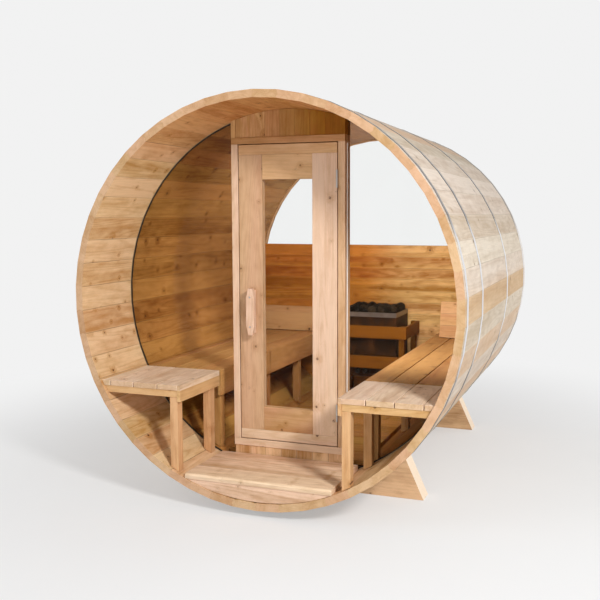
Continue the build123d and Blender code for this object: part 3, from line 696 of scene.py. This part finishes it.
def ease_edges(piece, width):
    """Rounds the sharp edges of a piece."""
    ease = piece.modifiers.new("eased edges", "BEVEL")
    ease.width = width
    ease.segments = 2
    ease.limit_method = "ANGLE"
    return ease


def soften(width, *names):
    """Joins each solid's faces and eases its edges.  Boards are numbered on from a number of
    the piece's own, which is the second socket of the one skin."""
    for name in names:
        piece = NODES[name]
        skin = piece.modifiers.new("one skin", "NODES")
        skin.node_group = ONE_SKIN
        skin["Socket_1"] = 23 * sorted(NODES).index(name)
        if width:
            ease = ease_edges(piece, width)
            ease.angle_limit = radians(40)
            ease.harden_normals = True


# Boards with neither a shade nor joints of their own: the material's name, the run of its
# grain, its tones, how much boards vary, the share of knots, and the pieces.
PLAIN_CEDARS = [
    ("fascia_cedar", grain_x, FASCIA, 0.3, 0.7, ["porch_fascia"]),
    ("backrest_cedar", grain_x, LEFT_REST, 0.5, 0.3, ["backrest_left", "rear_window_bead"]),
    ("bearer_cedar", grain_y, CABIN, 0.5, 0.4, ["floor_bearers"]),
    ("cabin_bench_cedar", grain_bench, CABIN_BENCH, 0.5, 0.35,
     ["cabin_bench_left", "cabin_bench_right"]),
    ("door_cedar_upright", grain_z, DOOR, 0.4, 0.35,
     ["door_stile_right", "door_jamb_left", "door_handle"]),
    ("jamb_cedar", grain_z, RIGHT_JAMB, 0.4, 0.4, ["door_jamb_right"]),
    ("door_cedar_warm", grain_z, LEFT_STILE, 0.4, 0.5, ["door_stile_left"]),
    ("door_cedar_across", grain_x, DOOR, 0.35, 0.4, ["door_bottom_rail", "door_sill"]),
    # the top rail takes the upper panel's deeper tones as painted shade under the porch roof
    ("door_panel_cedar", grain_x, UPPER_PANEL, 0.5, 0.5, ["door_upper_panel", "door_top_rail"]),
    ("lower_panel_cedar", grain_x, LOWER_PANEL, 0.5, 0.5, ["door_lower_panel"]),
    # the head's deeper tones are painted shade under the header
    ("head_cedar", grain_x, DOOR_HEAD_PAINTED_SHADE, 0.4, 0.4, ["door_head"]),
    ("guard_cedar", grain_guard, GUARD, 0.5, 0.3, ["heater_guard"]),
]


def finish_cedar():
    """Gives every wooden piece its cedar, and eases its edges."""
    for name, grain, pair, variety, knots, pieces in PLAIN_CEDARS:
        finish(cedar(name, grain, pair, variety, knots), *pieces)

    shell = named("shell_")
    finish(cedar("stave_cedar", grain_staves, PORCH, 0.75, 0.5, weathered, stave_joints), *shell)
    benches = cedar("bench_cedar", grain_bench, BENCH_RAILS, 0.5, 0.4, slats_paler)
    finish(benches, "porch_bench_left", "porch_bench_right")
    cradles = cedar("cradle_cedar", grain_x, CRADLE, 0.5, 0.4, painted_light_on_ends)
    finish(cradles, "cradle_front", "cradle_rear")
    header = cedar("header_cedar", grain_z, HEADER, 0.8, 0.3, painted_shade_to_the_right)
    finish(header, "header_panel")

    front, back = (corner.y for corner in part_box("porch_deck"))
    deck_pitch = (back - front + DECK_GAP) / DECK_BOARDS
    deck_joints = joints_back("porch_deck", deck_pitch)
    finish(cedar("deck_cedar", grain_x, DECK, 0.7, 0.7, joints=deck_joints), "porch_deck")
    floor_joints = joints_back("cabin_floor", FLOOR_PITCH)
    finish(cedar("cabin_floor_cedar", grain_x, CABIN, 0.6, 0.4, joints=floor_joints), "cabin_floor")
    wall_joints = joints_down("rear_wall", WALL_PITCH)
    wall = cedar("rear_wall_cedar", grain_x, REAR_WALL, 0.9, 0.5, tan_behind, wall_joints)
    finish(wall, "rear_wall")
    rest_joints = joints_down("backrest_right", REST_PITCH)
    rest = cedar("right_backrest_cedar", grain_x, RIGHT_REST, 0.6, 0.4, joints=rest_joints)
    finish(rest, "backrest_right")
    sill_joints = joints_across(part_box("door_sill")[1].x - SILL_PANEL_INSET, SILL_BOARDS)
    finish(cedar("sill_cedar", grain_z, SILL_PANEL, 1.0, 0.8, joints=sill_joints), "sill_panel")

    soften(0, "door_handle", *shell)
    soften(FINE_ARRIS, "header_panel")
    joinery = named("porch_", "cradle_", "cabin_", "rear_wall", "rear_window_bead", "backrest_",
                    "floor_bearers", "door_stile", "door_jamb", "door_top", "door_bottom",
                    "door_upper", "door_lower", "door_head", "door_sill", "sill_", "heater_guard")
    soften(BOARD_ARRIS, *joinery)


def finish_hardware():
    finish(hoop_steel(), *named("hoop_"))
    finish(hinge_steel(), *named("hinge_"))
    finish(rubber_seal(), "front_glass_seal")
    finish(heater_enamel(), "heater_body")
    soften(FINE_ARRIS, "heater_body", *named("hinge_"))
    finish(clear_glass("wall_glass", 1.13), "front_glass_left", "front_glass_right", "rear_window")
    finish(clear_glass("door_glass", 1.12), "door_glass")


# ---------------------------------------------------------------- pieces made here
def new_object(name, builder, material):
    """Turns a bmesh into an object."""
    mesh = bpy.data.meshes.new(name)
    builder.to_mesh(mesh)
    builder.free()
    mesh.materials.append(material)
    piece = bpy.data.objects.new(name, mesh)
    bpy.context.scene.collection.objects.link(piece)
    return piece


def mesh_piece(name, builder, material, body):
    """Turns a bmesh into a piece that rides on a body."""
    piece = new_object(name, builder, material)
    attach(piece, body)
    return piece


def join_rings(builder, rings):
    """Faces between neighbouring rings of points, and a cap at either end."""
    for first, second in zip(rings, rings[1:]):
        for step in range(len(first)):
            after = (step + 1) % len(first)
            builder.faces.new((first[step], first[after], second[after], second[step]))
    builder.faces.new(rings[0][::-1])
    builder.faces.new(rings[-1])


def turned_ring(builder, centre, reach, along, sides, lobes=0.0):
    """A ring of points about a line along y, drawn in and out by six lobes."""
    ring = []
    for step in range(sides):
        turn = 2 * pi * step / sides
        out = reach * (1 + lobes * cos(6 * turn))
        x = centre[0] + out * sin(turn)
        z = centre[2] + out * cos(turn)
        ring.append(builder.verts.new((x, centre[1] + along, z)))
    return ring


def add_stone(builder, centre, sizes, seed):
    """One broken stone: a ball pressed flat in a few directions and roughened."""
    rng = random.Random(seed)
    tone_layer = builder.verts.layers.float.get("stone") or builder.verts.layers.float.new("stone")
    made = bmesh.ops.create_icosphere(builder, subdivisions=3, radius=1.0)
    cuts = []
    for _ in range(9):
        direction = Vector((rng.gauss(0, 1), rng.gauss(0, 1), rng.gauss(0, 1))).normalized()
        cuts.append((direction, rng.uniform(0.62, 0.92)))
    tone = rng.random() ** 2
    angle = rng.uniform(0, 2 * pi)
    spin = Matrix.Rotation(angle, 3, Vector((rng.random(), rng.random(), 1)).normalized())
    for vertex in made["verts"]:
        point = vertex.co.copy()
        for direction, reach in cuts:
            over = point.dot(direction) - reach
            if over > 0:
                point -= direction * over
        point *= 1 + 0.08 * noise.noise(point * 2.3 + Vector((seed, 0, 0)))
        point = spin @ point
        vertex[tone_layer] = tone
        vertex.co = Vector(centre) + Vector([along * size for along, size in zip(point, sizes)])


def heap_of_stones():
    """Three layers of stones heaped in the tray, lower at its sides."""
    low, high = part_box("heater_stones")
    rng = random.Random(17)
    builder = bmesh.new()
    spacing = 0.058
    lowest = HEATER_TOP - 0.045
    layer_rise = 0.036
    columns = int((high.x - low.x) / spacing)
    rows = int((high.y - low.y) / spacing)
    seed = 0
    for layer in range(3):
        for column in range(columns + 1):
            for row in range(rows + 1):
                seed += 1
                x = low.x + (column + 0.5 * (layer % 2)) * (high.x - low.x) / columns
                y = low.y + (row + 0.5 * (layer % 2)) * (high.y - low.y) / rows
                size = rng.uniform(0.026, 0.040)
                x = min(max(x + rng.uniform(-0.01, 0.01), low.x + size), high.x - size)
                y = min(max(y + rng.uniform(-0.01, 0.01), low.y + size), high.y - size)
                edge = min(x - low.x, high.x - x, y - low.y, high.y - y)
                top = min(high.z - 0.004, HEATER_TOP + 0.012 + edge * 1.1)
                z = min(lowest + layer * layer_rise, top - size)
                sizes = [size * rng.uniform(0.8, 1.0) for _ in range(3)]
                add_stone(builder, (x, y, z), sizes, seed)
    stones = mesh_piece("heater_stone_heap", builder, sauna_stone(), "building")
    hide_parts("heater_stones")


def control_knobs():
    """Two round knobs with a raised grip bar each."""
    low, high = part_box("heater_knobs")
    radius = (high.z - low.z) / 2
    middle_z = (high.z + low.z) / 2
    depth = high.y - low.y
    outline = [(0.98, 0.0), (0.98, 0.22), (0.90, 0.32), (0.74, 0.40), (0.70, 0.50), (0.66, 0.58),
               (0.30, 0.60)]    # shares of the radius and of the depth
    builder = bmesh.new()
    for x in (low.x + radius, high.x - radius):
        centre = (x, high.y, middle_z)
        join_rings(builder, [turned_ring(builder, centre, radius * out, -depth * along, 40)
                             for out, along in outline])
        grip = bmesh.ops.create_cube(builder, size=1.0)
        for vertex in grip["verts"]:
            taper = 0.8 if vertex.co.y < 0 else 1.0
            vertex.co.x = x + vertex.co.x * radius * 0.34 * taper
            vertex.co.z = middle_z + vertex.co.z * radius * 1.5 * taper
            vertex.co.y = high.y - depth * 0.72 + vertex.co.y * depth * 0.5
    knobs = mesh_piece("heater_control_knobs", builder, knob_plastic(), "building")
    ease_edges(knobs, KNOB_ARRIS)
    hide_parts("heater_knobs")


def glazing_sealant():
    """A tooled fillet of sealant down each side of the door frame, where the glass runs in."""
    low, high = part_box("door_head")
    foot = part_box("sill_panel")[1].z
    top = low.z + 0.004
    clear = 0.0002      # how far the fillet stands off the frame and the glass
    hollow = 0.93
    builder = bmesh.new()
    for side in (-1, 1):
        edge = side * high.x
        rings = []
        for step in range(9):
            height = foot + (top - foot) * step / 8
            ring = []
            for turn in range(7):
                angle = pi / 2 * turn / 6
                out = SEALANT_W * (1 - hollow * sin(angle))
                front = SEALANT_W * (1 - hollow * cos(angle))
                ring.append(builder.verts.new((edge + side * out, GLASS_FRONT - front, height)))
            ring.append(builder.verts.new((edge + side * clear, GLASS_FRONT - clear, height)))
            rings.append(ring)
        join_rings(builder, rings)
    bmesh.ops.recalc_face_normals(builder, faces=builder.faces)
    mesh_piece("front_glass_sealant", builder, clear_sealant(), "building")


def pull_screws():
    """Two countersunk screws with six-lobed sockets, one near each end of the pull."""
    low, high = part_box("door_handle")
    x = (low.x + high.x) / 2
    face = low.y - 0.0002
    # Each ring's radius, how far it lies behind the head's rim and how deep its lobes are.
    outline = [(0.0050, 0.0006, 0.0), (0.0050, 0.0, 0.0), (0.0044, -0.0006, 0.0),
               (0.0026, -0.0010, 0.10), (0.0024, -0.0008, 0.16), (0.0021, 0.0, 0.16)]
    builder = bmesh.new()
    for z in (low.z + SCREW_INSET, high.z - SCREW_INSET):
        join_rings(builder, [turned_ring(builder, (x, face, z), out, along, 48, lobes)
                             for out, along, lobes in outline])
    bmesh.ops.recalc_face_normals(builder, faces=builder.faces)
    mesh_piece("door_pull_screws", builder, hinge_steel(), "door")


# ---------------------------------------------------------------- floor, light and camera
BACKGROUND = (0.887, 0.887, 0.887, 1.0)


def seen_rays(shader):
    """1 for rays that look at the background, straight or by way of metal or glass."""
    rays = shader.add("LightPath").outputs
    total = shader.sum("ADD", rays["Is Camera Ray"], rays["Is Glossy Ray"])
    total = shader.sum("ADD", total, rays["Is Transmission Ray"])
    return shader.sum("MINIMUM", total, 1.0)


def pale_floor():
    """A round floor that keeps the shadow near the barrel and turns into the background."""
    material, shader, surface = new_material("pale_floor")
    x, y, _ = shader.position()
    speck = shader.cloud(shader.place(), (3.0, 3.0, 3.0), 3.0)
    colour = shader.mix(speck, (0.83, 0.83, 0.83, 1.0), (0.86, 0.86, 0.86, 1.0))
    shader.feed(surface.inputs["Base Color"], colour)
    surface.inputs["Roughness"].default_value = 0.9
    surface.inputs["Specular IOR Level"].default_value = 0.1
    reach = shader.sum("SQRT", shader.sum("ADD", shader.sum("MULTIPLY", x, x),
                                          shader.sum("MULTIPLY", y, y)))
    share = shader.sum("MULTIPLY_ADD", shader.ramp(reach, 1.2, 4.0), 0.6, 0.4)
    share = shader.sum("MULTIPLY", share, seen_rays(shader))
    plain = shader.add("Emission", {"Color": BACKGROUND, "Strength": 1.0})
    blend_surface(shader, share, surface, plain)

    builder = bmesh.new()
    bmesh.ops.create_circle(builder, cap_ends=True, segments=96, radius=30.0)
    floor = new_object("floor", builder, material)


def studio_world(strength):
    """Even white light, with the plain background where it is seen."""
    world = bpy.data.worlds.new("studio")
    bpy.context.scene.world = world
    world.use_nodes = True
    world.node_tree.nodes.clear()
    shader = Shader(world.node_tree)
    light = shader.add("Background", {"Color": (1.0, 1.0, 1.0, 1.0), "Strength": strength})
    plain = shader.add("Background", {"Color": BACKGROUND, "Strength": 1.0})
    both = shader.add("MixShader", {0: seen_rays(shader), 1: light.outputs[0], 2: plain.outputs[0]})
    output = shader.add("OutputWorld")
    shader.feed(output.inputs["Surface"], both.outputs[0])


def soft_lamp(name, place, target, size, power):
    """A round lamp that lights the object and is not seen itself."""
    lamp = bpy.data.lights.new(name, "AREA")
    lamp.shape = "DISK"
    lamp.size = size
    lamp.energy = power
    piece = bpy.data.objects.new(name, lamp)
    bpy.context.scene.collection.objects.link(piece)
    piece.location = place
    piece.rotation_euler = (Vector(target) - Vector(place)).to_track_quat("-Z", "Y").to_euler()
    piece.visible_glossy = False
    piece.visible_transmission = False
    piece.visible_camera = False


def studio_camera():
    """From the front, a little to the right, at about eye height."""
    data = bpy.data.cameras.new("camera")
    camera = bpy.data.objects.new("camera", data)
    bpy.context.scene.collection.objects.link(camera)
    camera.location = (1.7231, -4.9256, 1.5609)
    camera.rotation_euler = (radians(84.156), radians(0.04), radians(19.621))
    data.sensor_width = 36.0
    data.lens = 48.893
    data.shift_x = -0.0484
    data.shift_y = -0.0032
    bpy.context.scene.camera = camera


finish_cedar()
finish_hardware()
heap_of_stones()
control_knobs()
glazing_sealant()
pull_screws()
pale_floor()
studio_world(0.34)
soft_lamp("key", (4.2, -4.4, 3.9), (0.0, -0.6, 0.8), 1.0, 305.0)
soft_lamp("left fill", (-3.0, -4.6, 4.4), (0.3, -0.6, 0.6), 3.0, 45.0)
soft_lamp("low fill", (0.8, -6.5, 0.9), (0.0, 0.5, 0.8), 2.5, 62.0)
soft_lamp("side fill", (-5.5, 0.6, 1.3), (0.0, 0.0, 1.1), 3.0, 85.0)
soft_lamp("cabin light", (0.42, -0.34, 1.50), (0.10, 1.1, 0.8), 0.5, 17.0)
soft_lamp("rear light", (4.2, 4.0, 0.9), (1.0, 0.3, 0.9), 1.5, 95.0)
studio_camera()
bpy.context.scene.view_settings.view_transform = "Standard"
